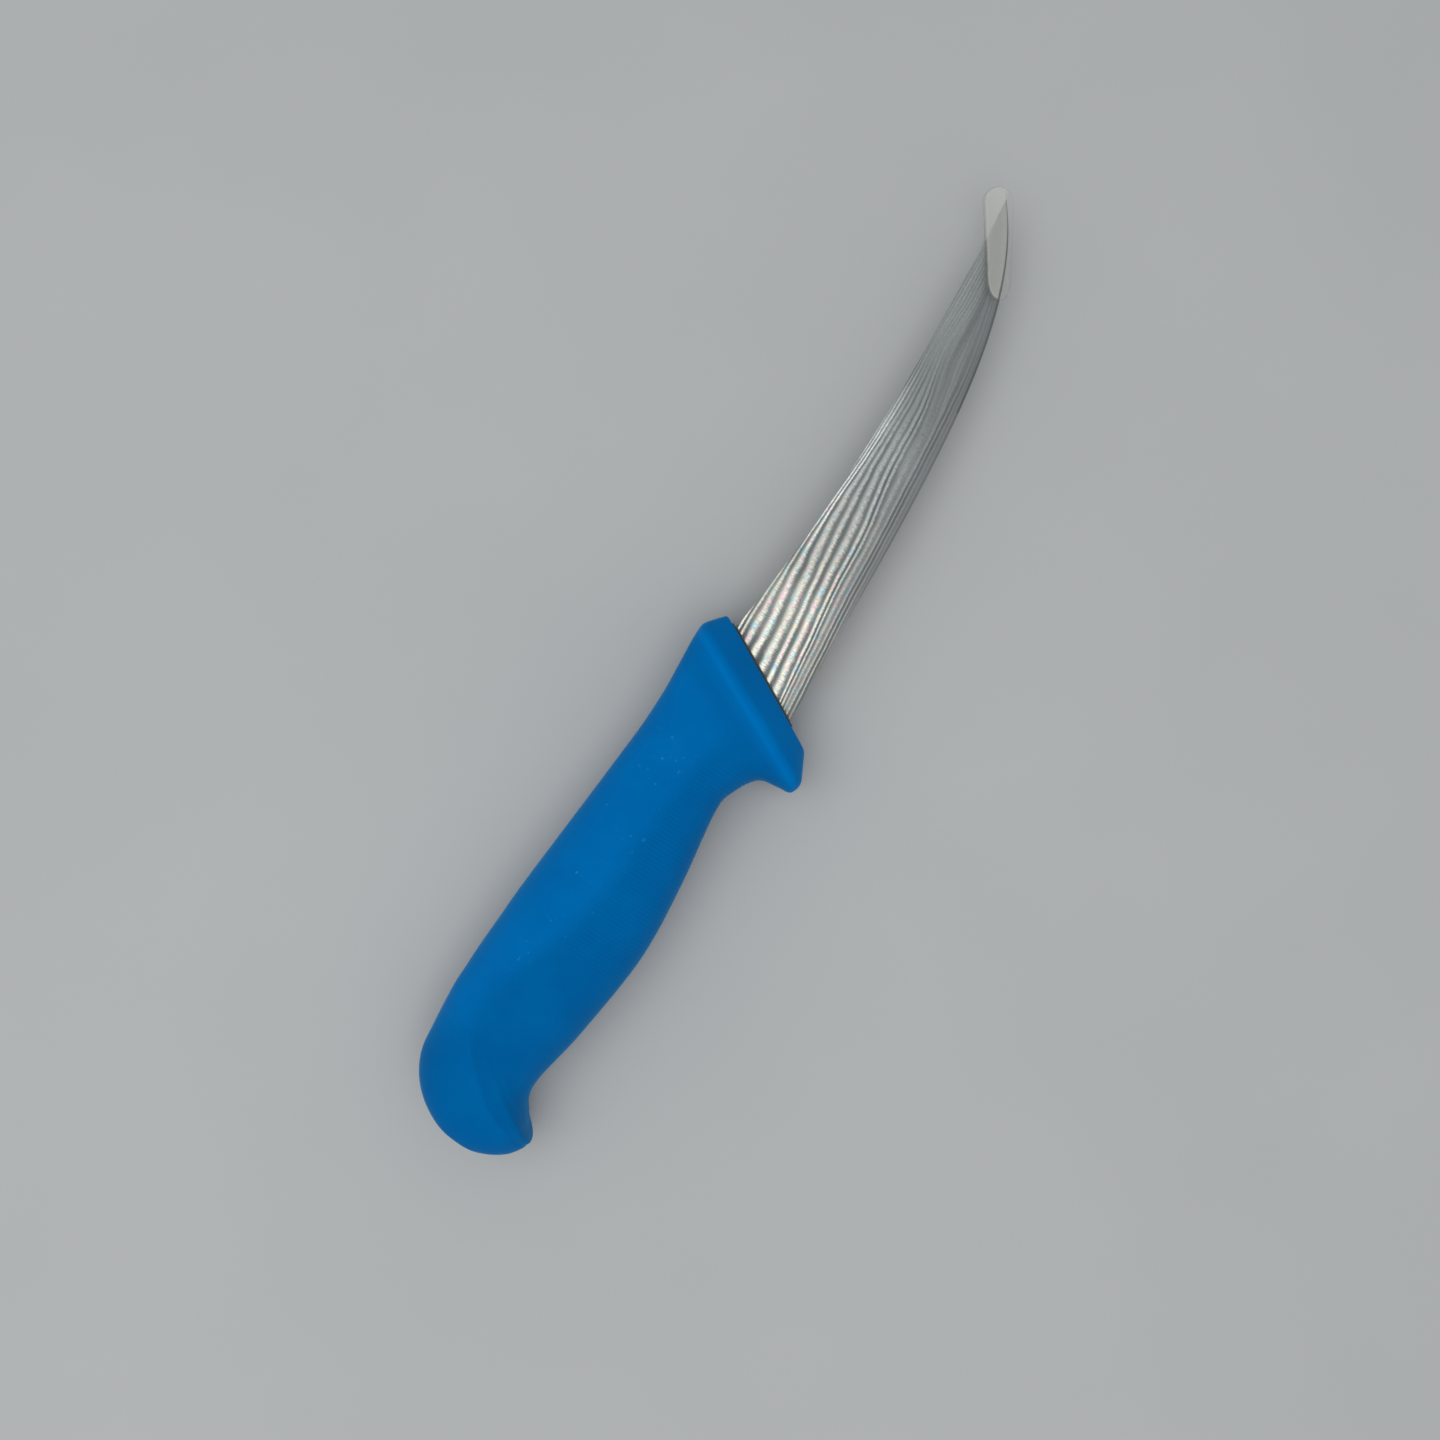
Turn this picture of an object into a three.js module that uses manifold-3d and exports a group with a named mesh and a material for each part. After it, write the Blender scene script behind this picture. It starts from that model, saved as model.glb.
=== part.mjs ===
// Curved boning knife lying on its side, with a clear push-on guard over its point.
// Millimetres. +X runs to the point, +Y to the spine of the blade and +Z up.
// Every piece is drawn round one datum: the middle of the guard's front face, on the blade's
// centre plane. The finished knife is then moved so that its origin is the middle of its footprint.

import * as THREE from 'three';
import { mergeVertices } from 'three/addons/utils/BufferGeometryUtils.js';
import Module from 'manifold-3d';

const wasm = await Module();
wasm.setup();

// Gap left between pieces that are moulded or pushed on one another
const FIT = 0.3;

// Blade: reach and rise of the point, and the heights of spine and edge at the guard
const BLADE_REACH = 131;
const POINT_RISE = 16.05;
const HEEL_SPINE = 14.6;
const HEEL_EDGE = 9;

// Blade: control points of the hollow spine and of the upswept cutting edge
const SPINE_REAR_X = 45;
const SPINE_REAR_Y = 9.8;
const SPINE_FORE_X = 90;
const SPINE_FORE_Y = 11.7;
const EDGE_REAR_X = 59;
const EDGE_REAR_Y = -5;
const EDGE_FORE_X = 106.7;
const EDGE_FORE_Y = -5.2;

// Blade: thickest along a ridge below the spine, thinner at the back, ground to a bevel at the edge
const BLADE_THICK = 2.2;
const POINT_THICK = 0.9;
const BACK_THIN = 0.6;
const RIDGE_DROP = 5;
const EDGE_THICK = 0.25;
const BEVEL_WIDTH = 1;
const BEVEL_THICK = 0.6;

// Tang: the blade's full height goes a little way into the guard, then narrows
const HEEL_INSET = 6;
const TANG_SHORT_OF_HOOK = 8;
const TANG_SPINE = 14;
const TANG_BELLY = 0.5;
const TANG_HOLE_RADIUS = 3.5;
const TANG_HOLE_FIRST = 38;
const TANG_HOLE_PITCH = 24;
const TANG_HOLE_COUNT = 3;

// Handle guard: slanted front face, crest behind it and the horn below
const GUARD_SLANT_DEG = 27.3;
const FACE_SPINE = 17.8;
const FACE_BELLY = 15.7;
const FACE_HALF = 7;
const CREST_AHEAD = 4.4;
const CREST_SPINE = 21.7;
const CREST_HALF = 11;
const HORN_SETBACK = 15.4;
const HORN_DEPTH = 19.4;
const HORN_THICK = 3.6;
const HORN_ROUND = 1.2;
const HORN_ROOT = 10.2;

// Handle grip, from the guard back: neck, finger notch, palm swell and hump,
// each with its distance behind the one before and its reach above and below the datum
const NECK_SETBACK = 14;
const NECK_SPINE = 20.75;
const NECK_HALF = 9;
const NOTCH_SETBACK = 32;
const NOTCH_SPINE = 21.25;
const NOTCH_DEPTH = 5.7;
const PALM_BEHIND_NOTCH = 40;
const PALM_SPINE = 24;
const PALM_DEPTH = 10;
const PALM_HALF = 11.2;
const HUMP_BEHIND_PALM = 23;
const HUMP_SPINE = 24.7;
const HUMP_DEPTH = 7.6;

// Handle butt: a hollow for the little finger, a hook, and a round end behind a slanted ridge
const HOOK_BEHIND_HUMP = 17;
const HOOK_NECK_DEPTH = 4.9;
const HOOK_NECK_HALF = 10;
const HOOK_TIP_BEHIND_NECK = 11;
const HOOK_TIP_DEPTH = 11.5;
const HOOK_FRONT_HOLLOW = 2.1;
const BUTT_RIDGE_LEAN = 21;
const BUTT_LENGTH = 19.85;
const BUTT_HEIGHT = 21.7;
const BUTT_RISE = 2;
const BUTT_HALF = 11;

// How square the handle's sections and the butt's back are: 2 is an ellipse, more is boxier
const GUARD_SQUARE = 5;
const GRIP_SQUARE = 2.6;
const BUTT_SQUARE = 2.16;

// Cheeks are cut flat this far from the centre plane, so the knife lies steady
const CHEEK_HALF = 10.7;

// Blue skin over the dark core, and the core's lip round the blade
const SKIN = 3;
const FACE_WALL = 3;
const LIP_RIM = 1;
const LIP_PROUD = 0.5;

// The core stops where the handle's round end gets thinner than this, measured from the centre plane
const CORE_END_HALF = 8.8;

// Tip guard: round at its far end, a little narrower and longer drawn at its near end
const TIP_GUARD_LENGTH = 28.1;
const TIP_GUARD_WIDTH = 7.6;
const TIP_GUARD_NEAR_WIDTH = 6.4;
const TIP_GUARD_NEAR_LENGTH = 6;
const TIP_GUARD_THICK = 4.6;
const TIP_GUARD_WALL = 0.8;
const TIP_GUARD_END = 2.8;
const TIP_GUARD_TILT_DEG = 33;
const TIP_GUARD_ROUND = 1.2;

// Facets
const BLADE_STEPS = 28;
const OUTER_STEPS = 4;
const OUTER_POINTS = 28;
const INNER_STEPS = 2;
const INNER_POINTS = 16;
const BUTT_STEPS = 5;
const CUTTER_SIZE = 400;

const PALM_SETBACK = NOTCH_SETBACK + PALM_BEHIND_NOTCH;
const HUMP_SETBACK = PALM_SETBACK + HUMP_BEHIND_PALM;
const HOOK_NECK_SETBACK = HUMP_SETBACK + HOOK_BEHIND_HUMP;
const HOOK_TIP_SETBACK = HOOK_NECK_SETBACK + HOOK_TIP_BEHIND_NECK;
const HORN_REAR = HORN_SETBACK + HORN_THICK;
const TANG_SETBACK = HOOK_NECK_SETBACK - TANG_SHORT_OF_HOOK;
const SLANT = THREE.MathUtils.degToRad(GUARD_SLANT_DEG);
const TIP_TILT = THREE.MathUtils.degToRad(TIP_GUARD_TILT_DEG);

const v2 = (x, y) => new THREE.Vector2(x, y);
const onFace = (y) => v2(y * Math.tan(SLANT), y);
const rounded = (value, square) => Math.sign(value) * Math.abs(value) ** (2 / square);

function toManifold(geometry) {
  geometry.deleteAttribute('normal');
  geometry.deleteAttribute('uv');
  const merged = mergeVertices(geometry);
  const vertProperties = new Float32Array(merged.attributes.position.array);
  const triVerts = new Uint32Array(merged.index.array);
  return new wasm.Manifold(new wasm.Mesh({ numProp: 3, vertProperties, triVerts }));
}

function toGeometry(solid) {
  const mesh = solid.getMesh();
  const geometry = new THREE.BufferGeometry();
  geometry.setAttribute('position', new THREE.BufferAttribute(mesh.vertProperties, 3));
  geometry.setIndex(new THREE.BufferAttribute(mesh.triVerts, 1));
  geometry.computeVertexNormals();
  return geometry;
}

// Closed skin over rings that run from +X to -X, each ring turning from +Y to +Z,
// with a fan to one point at each end.
function loft(rings, firstEnd, lastEnd) {
  const count = rings[0].length;
  const points = [...rings.flat(), firstEnd, lastEnd];
  const first = points.length - 2;
  const last = points.length - 1;
  const index = [];
  for (let i = 0; i < count; i++) {
    const next = (i + 1) % count;
    for (let k = 0; k < rings.length - 1; k++) {
      const here = k * count;
      const beyond = here + count;
      index.push(here + i, beyond + i, here + next);
      index.push(here + next, beyond + i, beyond + next);
    }
    const end = (rings.length - 1) * count;
    index.push(first, i, next);
    index.push(last, end + next, end + i);
  }
  const geometry = new THREE.BufferGeometry().setFromPoints(points);
  geometry.setIndex(index);
  return toManifold(geometry);
}

function box(width, height, depth) {
  return new THREE.BoxGeometry(width, height, depth);
}

// Plate of an outline in plan, centred on the blade's centre plane
function plate(shape, thick) {
  const geometry = new THREE.ExtrudeGeometry(shape, { depth: thick, bevelEnabled: false });
  geometry.translate(0, 0, -thick / 2);
  return toManifold(geometry);
}

// Everything ahead of a plane that lies the given distance behind the guard's front face
function aheadOfFace(behind) {
  const cutter = box(CUTTER_SIZE, CUTTER_SIZE, CUTTER_SIZE);
  cutter.translate(CUTTER_SIZE / 2 - behind, 0, 0);
  cutter.rotateZ(-SLANT);
  return toManifold(cutter);
}

// Blade
const point = v2(BLADE_REACH, POINT_RISE);

const spineCurve = new THREE.CubicBezierCurve(
  onFace(HEEL_SPINE),
  v2(SPINE_REAR_X, SPINE_REAR_Y),
  v2(SPINE_FORE_X, SPINE_FORE_Y),
  point,
);

const edgeCurve = new THREE.CubicBezierCurve(
  onFace(-HEEL_EDGE),
  v2(EDGE_REAR_X, EDGE_REAR_Y),
  v2(EDGE_FORE_X, EDGE_FORE_Y),
  point,
);

// Thickness at the ridge, which tapers from the guard to the point
function ridgeThickness(x) {
  const share = THREE.MathUtils.clamp(x / BLADE_REACH, 0, 1);
  return THREE.MathUtils.lerp(BLADE_THICK, POINT_THICK, share);
}

// Eight-sided section from a spine point to an edge point, grown all round by a clearance
function bladeRing(spine, edge, grow) {
  const across = spine.clone().sub(edge);
  const height = across.length();
  across.normalize();
  const thick = ridgeThickness(spine.x);
  const back = Math.max(thick - BACK_THIN, EDGE_THICK);
  const ridgeDrop = Math.min(RIDGE_DROP, height / 3);
  const bevel = Math.min(BEVEL_WIDTH, height / 3);
  const levels = [
    [spine.clone().addScaledVector(across, grow), back / 2 + grow],
    [spine.clone().addScaledVector(across, -ridgeDrop), thick / 2 + grow],
    [edge.clone().addScaledVector(across, bevel), BEVEL_THICK / 2 + grow],
    [edge.clone().addScaledVector(across, -grow), EDGE_THICK / 2 + grow],
  ];
  const upper = levels.map(([p, z]) => new THREE.Vector3(p.x, p.y, z));
  const lower = levels.map(([p, z]) => new THREE.Vector3(p.x, p.y, -z)).reverse();
  return [...upper, ...lower];
}

// Tang outline with a round end, from inside the guard to its far end
function tangOutline(grow) {
  const top = TANG_SPINE + grow;
  const bottom = TANG_BELLY - grow;
  const radius = (top - bottom) / 2;
  const endCentre = -TANG_SETBACK - grow + radius;
  const rootBottom = onFace(bottom).x - HEEL_INSET / 2;
  const rootTop = onFace(top).x - HEEL_INSET / 2;
  const shape = new THREE.Shape();
  shape.moveTo(rootBottom, bottom);
  shape.lineTo(rootTop, top);
  shape.lineTo(endCentre, top);
  shape.absarc(endCentre, (top + bottom) / 2, radius, Math.PI / 2, Math.PI * 1.5, false);
  shape.closePath();
  for (let i = 0; i < TANG_HOLE_COUNT; i++) {
    const hole = new THREE.Path();
    const x = -TANG_HOLE_FIRST - i * TANG_HOLE_PITCH;
    hole.absarc(x, (top + bottom) / 2, TANG_HOLE_RADIUS - grow, 0, Math.PI * 2, true);
    shape.holes.push(hole);
  }
  return shape;
}

// Blade and tang in one; grow makes the pocket that the core leaves round them
function bladeSolid(grow) {
  const rings = [];
  for (let i = BLADE_STEPS - 1; i >= 0; i--) {
    const t = i / BLADE_STEPS;
    rings.push(bladeRing(spineCurve.getPoint(t), edgeCurve.getPoint(t), grow));
  }
  const inset = v2(-HEEL_INSET - grow, 0);
  const heelSpine = onFace(HEEL_SPINE).add(inset);
  const heelEdge = onFace(-HEEL_EDGE).add(inset);
  rings.push(bladeRing(heelSpine, heelEdge, grow));
  const heelMiddle = heelSpine.clone().add(heelEdge).multiplyScalar(0.5);
  const pointEnd = new THREE.Vector3(point.x + grow, point.y, 0);
  const heelEnd = new THREE.Vector3(heelMiddle.x, heelMiddle.y, 0);
  const tang = plate(tangOutline(grow), BLADE_THICK + 2 * grow);
  return loft(rings, pointEnd, heelEnd).add(tang);
}

// Handle
// The butt's back is a curve round a centre above the hook's neck; its belly is one from the hook's tip
const buttCentre = v2(-HOOK_NECK_SETBACK, BUTT_RISE);
const buttEnd = buttCentre.x - BUTT_LENGTH;
const hookReach = -HOOK_TIP_SETBACK - buttEnd;

function buttArc(angle) {
  const x = buttCentre.x - BUTT_LENGTH * rounded(Math.cos(angle), BUTT_SQUARE);
  return v2(x, buttCentre.y + BUTT_HEIGHT * rounded(Math.sin(angle), BUTT_SQUARE));
}

function hookArc(angle) {
  const x = -HOOK_TIP_SETBACK - hookReach * Math.cos(angle);
  return v2(x, BUTT_RISE - (HOOK_TIP_DEPTH + BUTT_RISE) * Math.sin(angle));
}

const midway = (a, b) => a.clone().lerp(b, 0.5);

// A section's place and form: spine and belly points, half thickness and how square it is
function station(spine, belly, half, square) {
  return { spine, belly, half, square };
}

const crest = station(
  v2(CREST_AHEAD, CREST_SPINE),
  v2(-HORN_SETBACK, -HORN_DEPTH),
  CREST_HALF,
  GUARD_SQUARE,
);
const neck = station(
  v2(-NECK_SETBACK, NECK_SPINE),
  v2(-HORN_REAR - HORN_ROUND, -HORN_ROOT),
  NECK_HALF,
  (GUARD_SQUARE + 2 * GRIP_SQUARE) / 3,
);
const behindCrest = station(
  v2(0, CREST_SPINE),
  v2(-HORN_REAR + HORN_ROUND / 2, -HORN_DEPTH + HORN_ROUND),
  (2 * CREST_HALF + NECK_HALF) / 3,
  GUARD_SQUARE,
);
const aheadOfNeck = station(
  midway(behindCrest.spine, neck.spine),
  v2(-HORN_REAR, (-HORN_DEPTH - HORN_ROOT) / 2),
  NECK_HALF,
  (2 * GUARD_SQUARE + GRIP_SQUARE) / 3,
);
const notch = station(
  v2(-NOTCH_SETBACK, NOTCH_SPINE),
  v2(-NOTCH_SETBACK, -NOTCH_DEPTH),
  NECK_HALF,
  GRIP_SQUARE,
);
const aheadOfNotch = station(
  v2((-NECK_SETBACK - NOTCH_SETBACK) / 2, NECK_SPINE),
  v2((-HORN_REAR - NOTCH_SETBACK) / 2, -NOTCH_DEPTH - HORN_ROUND),
  NECK_HALF,
  GRIP_SQUARE,
);
const palm = station(
  v2(-PALM_SETBACK, PALM_SPINE),
  v2(-PALM_SETBACK, -PALM_DEPTH),
  PALM_HALF,
  GRIP_SQUARE,
);
const aheadOfPalm = station(
  midway(notch.spine, palm.spine),
  v2(midway(notch.belly, palm.belly).x, (-NOTCH_DEPTH - 2 * PALM_DEPTH) / 3),
  (NECK_HALF + 2 * PALM_HALF) / 3,
  GRIP_SQUARE,
);
const hump = station(
  v2(-HUMP_SETBACK + BUTT_RIDGE_LEAN / 1.5, (PALM_SPINE + HUMP_SPINE) / 2),
  v2(-HUMP_SETBACK, -HUMP_DEPTH),
  PALM_HALF,
  GRIP_SQUARE,
);
const hookNeck = station(
  v2(-HOOK_NECK_SETBACK + BUTT_RIDGE_LEAN, HUMP_SPINE),
  v2(-HOOK_NECK_SETBACK, -HOOK_NECK_DEPTH),
  HOOK_NECK_HALF,
  GRIP_SQUARE,
);
const hookTip = station(
  v2(-HOOK_TIP_SETBACK + BUTT_RIDGE_LEAN, HUMP_SPINE),
  hookArc(Math.PI / 2),
  BUTT_HALF,
  GRIP_SQUARE,
);
const aheadOfHook = station(
  midway(hookNeck.spine, hookTip.spine),
  midway(hookNeck.belly, hookTip.belly).add(v2(-HOOK_FRONT_HOLLOW, 0)),
  (2 * HOOK_NECK_HALF + BUTT_HALF) / 3,
  GRIP_SQUARE,
);

const stations = [
  crest,
  behindCrest,
  aheadOfNeck,
  neck,
  aheadOfNotch,
  notch,
  aheadOfPalm,
  palm,
  hump,
  hookNeck,
  aheadOfHook,
  hookTip,
];

// The round butt: both rails follow their arcs from behind the hook's tip to one point.
// The first section starts the back's arc, with its belly halfway to the next one's.
const quarterTurn = (share) => (Math.PI / 2) * (1 - share);
const hookStart = hookArc(quarterTurn(0.5 / BUTT_STEPS));
stations.push(station(buttArc(quarterTurn(0)), hookStart, BUTT_HALF, GRIP_SQUARE));
for (let i = 1; i <= BUTT_STEPS; i++) {
  const share = i / BUTT_STEPS;
  const turn = quarterTurn(share);
  const half = BUTT_HALF * Math.sqrt(1 - share ** 3);
  stations.push(station(buttArc(turn), hookArc(turn), half, GRIP_SQUARE));
}

const spineRail = new THREE.SplineCurve(stations.map((s) => s.spine));
const bellyRail = new THREE.SplineCurve(stations.map((s) => s.belly));
const sectionRail = new THREE.SplineCurve(stations.map((s) => v2(s.half, s.square)));

// One section of the handle, drawn in by an inset
function handleRing(spine, belly, half, square, inset, count) {
  const middle = spine.clone().add(belly).multiplyScalar(0.5);
  const arm = spine.clone().sub(middle);
  const size = arm.length();
  arm.multiplyScalar((size - inset) / size);
  const ring = [];
  for (let i = 0; i < count; i++) {
    const angle = (i / count) * Math.PI * 2;
    const across = rounded(Math.cos(angle), square);
    const up = rounded(Math.sin(angle), square) * (half - inset);
    ring.push(new THREE.Vector3(middle.x + arm.x * across, middle.y + arm.y * across, up));
  }
  return ring;
}

// The handle's body, or the same body drawn in by an inset, which ends short of the butt
function handleSolid(inset, steps, count) {
  const rings = [];
  const faceSpine = onFace(FACE_SPINE);
  const faceBelly = onFace(-FACE_BELLY);
  rings.push(handleRing(faceSpine, faceBelly, FACE_HALF, GUARD_SQUARE, inset, count));
  const total = (stations.length - 1) * steps;
  for (let i = 0; i < total; i++) {
    const t = i / total;
    const spine = spineRail.getPoint(t);
    const belly = bellyRail.getPoint(t);
    const section = sectionRail.getPoint(t);
    if (inset === 0 || section.x > CORE_END_HALF) {
      rings.push(handleRing(spine, belly, section.x, section.y, inset, count));
    }
  }
  const middle = (ring) => ring.reduce((sum, p) => sum.add(p), new THREE.Vector3()).divideScalar(count);
  const lastEnd = inset > 0 ? middle(rings.at(-1)) : new THREE.Vector3(buttEnd, BUTT_RISE, 0);
  return loft(rings, middle(rings[0]), lastEnd);
}

// The core's lip: a flat sleeve round the blade that passes through the guard's front face.
// Grown by a clearance and longer, it is the slot that the guard leaves for it.
function lipSolid(grow, proud) {
  const reach = LIP_RIM + grow;
  const front = v2(proud, 0);
  const back = v2(-FACE_WALL - HEEL_INSET / 2, 0);
  const top = onFace(HEEL_SPINE + reach);
  const bottom = onFace(-HEEL_EDGE - reach);
  const shape = new THREE.Shape([
    top.clone().add(front),
    top.clone().add(back),
    bottom.clone().add(back),
    bottom.clone().add(front),
  ]);
  return plate(shape, BLADE_THICK + 2 * reach);
}

function coreSolid() {
  const body = handleSolid(SKIN + FIT, INNER_STEPS, INNER_POINTS).subtract(aheadOfFace(FACE_WALL + FIT));
  return body.add(lipSolid(0, LIP_PROUD)).subtract(bladeSolid(FIT));
}

function gripSolid() {
  const cheeks = toManifold(box(CUTTER_SIZE, CUTTER_SIZE, 2 * CHEEK_HALF));
  const outside = handleSolid(0, OUTER_STEPS, OUTER_POINTS).intersect(cheeks);
  const hollow = handleSolid(SKIN, INNER_STEPS, INNER_POINTS).subtract(aheadOfFace(FACE_WALL));
  return outside.subtract(hollow).subtract(lipSolid(FIT, LIP_PROUD + FACE_WALL));
}

// Tip guard: a clear round-ended channel, drawn along its own length and turned to the point's sweep.
// Its slot is open to the spine and round the near end, and the edge lies along its floor.
function tipGuardSolid() {
  const along = v2(Math.cos(TIP_TILT), Math.sin(TIP_TILT));
  const inward = v2(-Math.sin(TIP_TILT), Math.cos(TIP_TILT));
  const edgeFloor = Math.min(...edgeCurve.getPoints(BLADE_STEPS).map((p) => p.dot(inward)));
  const floor = edgeFloor - FIT;
  const farEnd = point.dot(along) + TIP_GUARD_END;
  const nearEnd = farEnd - TIP_GUARD_LENGTH;
  const farHalf = TIP_GUARD_WIDTH / 2;
  const middle = floor - TIP_GUARD_WALL + farHalf;
  const farRadius = farHalf - TIP_GUARD_ROUND;
  const nearReach = TIP_GUARD_NEAR_LENGTH - TIP_GUARD_ROUND;
  const nearRadius = TIP_GUARD_NEAR_WIDTH / 2 - TIP_GUARD_ROUND;
  const nearCentre = nearEnd + TIP_GUARD_NEAR_LENGTH;

  const shape = new THREE.Shape();
  shape.absarc(farEnd - farHalf, middle, farRadius, -Math.PI / 2, Math.PI / 2, false);
  shape.absellipse(nearCentre, middle, nearReach, nearRadius, Math.PI / 2, Math.PI * 1.5, false, 0);
  shape.closePath();
  const flat = TIP_GUARD_THICK - 2 * TIP_GUARD_ROUND;
  const body = new THREE.ExtrudeGeometry(shape, {
    depth: flat,
    curveSegments: 8,
    bevelThickness: TIP_GUARD_ROUND,
    bevelSize: TIP_GUARD_ROUND,
    bevelSegments: 3,
  });
  body.translate(0, 0, -flat / 2);

  const nearX = along.x * nearEnd + inward.x * middle;
  const slot = box(CUTTER_SIZE, CUTTER_SIZE, ridgeThickness(nearX) + 2 * FIT);
  const slotEnd = point.dot(along) + FIT;
  slot.translate(slotEnd - CUTTER_SIZE / 2, floor + CUTTER_SIZE / 2, 0);
  return toManifold(body).subtract(toManifold(slot));
}

// Assembly
const steel = new THREE.MeshStandardMaterial({ color: 0xb9bcbd, roughness: 0.3, metalness: 1 });
const darkPlastic = new THREE.MeshStandardMaterial({ color: 0x1e2022, roughness: 0.6, metalness: 0 });
const bluePlastic = new THREE.MeshStandardMaterial({ color: 0x0062a6, roughness: 0.55, metalness: 0 });
const clearPlastic = new THREE.MeshStandardMaterial({
  color: 0xdedcd2,
  roughness: 0.25,
  metalness: 0,
  transparent: true,
  opacity: 0.45,
});

function piece(name, solid, material) {
  const mesh = new THREE.Mesh(toGeometry(solid), material);
  mesh.name = name;
  return mesh;
}

const tipGuard = piece('tip_guard', tipGuardSolid(), clearPlastic);
tipGuard.rotation.z = TIP_TILT;

const knife = new THREE.Group();
knife.add(piece('blade', bladeSolid(0), steel));
knife.add(piece('handle_core', coreSolid(), darkPlastic));
knife.add(piece('handle_grip', gripSolid(), bluePlastic));
knife.add(tipGuard);

const footprint = new THREE.Box3().setFromObject(knife, true);
const footprintMiddle = footprint.getCenter(new THREE.Vector3());
knife.position.set(-footprintMiddle.x, -footprintMiddle.y, -footprint.min.z);

const part = new THREE.Group();
part.add(knife);

export default part;
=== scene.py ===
"""Looks of the curved boning knife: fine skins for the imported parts, materials, floor, light and camera.

Shapes are drawn in millimetres round one datum, the middle of the guard's front face on the blade's
centre plane: +X to the point, +Y to the spine, +Z up. place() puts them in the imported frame, in metres.
"""

import math

import bpy
import numpy as np
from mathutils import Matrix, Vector


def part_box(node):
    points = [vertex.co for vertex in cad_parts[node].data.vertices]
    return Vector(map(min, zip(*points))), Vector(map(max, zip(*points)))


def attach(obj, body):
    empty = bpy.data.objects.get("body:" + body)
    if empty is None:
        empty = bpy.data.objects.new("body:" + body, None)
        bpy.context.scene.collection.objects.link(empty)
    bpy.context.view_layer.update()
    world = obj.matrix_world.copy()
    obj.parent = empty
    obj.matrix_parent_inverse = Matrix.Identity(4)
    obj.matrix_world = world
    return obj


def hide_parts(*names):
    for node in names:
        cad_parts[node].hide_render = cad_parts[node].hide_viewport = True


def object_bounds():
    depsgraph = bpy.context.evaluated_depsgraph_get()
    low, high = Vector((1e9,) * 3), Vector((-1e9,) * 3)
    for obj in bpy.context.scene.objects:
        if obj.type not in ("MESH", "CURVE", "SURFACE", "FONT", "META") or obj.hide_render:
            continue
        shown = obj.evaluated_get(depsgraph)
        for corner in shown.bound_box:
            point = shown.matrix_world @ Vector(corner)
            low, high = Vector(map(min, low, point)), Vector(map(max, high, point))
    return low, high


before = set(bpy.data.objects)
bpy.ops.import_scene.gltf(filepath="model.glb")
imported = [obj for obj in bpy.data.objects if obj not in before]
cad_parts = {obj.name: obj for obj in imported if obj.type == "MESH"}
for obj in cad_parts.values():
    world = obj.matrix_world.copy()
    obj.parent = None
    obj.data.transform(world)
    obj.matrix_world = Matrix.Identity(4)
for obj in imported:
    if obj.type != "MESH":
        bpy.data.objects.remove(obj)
cad_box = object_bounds()

MM = 0.001

# Blade: point, heel and the control points of spine and edge
POINT = np.array((131.0, 16.05))
HEEL_SPINE = 14.6
HEEL_EDGE = -9.0
HEEL_INSET = 6.0
SPINE_CONTROLS = ((45.0, 9.8), (90.0, 11.7))
EDGE_CONTROLS = ((59.0, -5.0), (106.7, -5.2))
BLADE_THICK = 2.2
POINT_THICK = 0.9
BACK_THIN = 0.6
RIDGE_DROP = 5.0
EDGE_THICK = 0.25
BEVEL_WIDTH = 1.0
BEVEL_THICK = 0.6
GROOVE_DEPTH = 0.04
GRAIN_PITCH = 0.57
BLADE_RING_GAP = 0.5
BLADE_ACROSS = 150
GROOVE_SPREAD = 0.16
BLADE_SHARP_DEG = 35

# Blade: where the dark lines between its bands run. Each row is one line, from the edge to the spine,
# as its distance above the edge at these distances from the guard.
BAND_STATIONS = (0, 12, 28, 44, 60, 76, 92, 108, 124)
BAND_LINES = (
    (-0.8, 0.1, 0.7, 1.0, 1.1, 1.2, 1.0, 0.8, 0.5),
    (0.1, 0.9, 1.7, 2.0, 2.3, 2.2, 1.7, 1.5, 0.9),
    (1.2, 1.8, 2.6, 2.8, 3.1, 3.1, 2.6, 2.2, 1.3),
    (2.3, 2.8, 3.6, 3.9, 4.3, 4.2, 5.0, 3.4, 1.8),
    (3.3, 4.2, 5.5, 5.8, 7.3, 7.2, 8.2, 4.6, 2.2),
    (4.2, 5.0, 6.4, 6.9, 8.5, 8.2, 8.9, 5.2, 2.5),
    (5.0, 6.3, 7.8, 8.5, 10.0, 9.5, 9.6, 5.9, 2.8),
    (8.2, 9.2, 10.6, 11.6, 12.3, 11.4, 10.4, 6.7, 3.2),
    (10.5, 11.2, 12.6, 13.9, 13.7, 12.4, 11.2, 7.5, 3.6),
    (14.1, 14.4, 15.8, 16.5, 15.0, 13.5, 11.9, 8.2, 4.0),
    (17.5, 17.3, 18.4, 17.4, 15.7, 14.3, 12.7, 9.2, 4.4),
    (20.1, 20.3, 19.5, 18.2, 16.4, 15.1, 13.3, 9.9, 4.8),
    (21.6, 21.5, 20.2, 18.6, 16.9, 15.6, 13.9, 10.6, 5.2),
)

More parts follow.
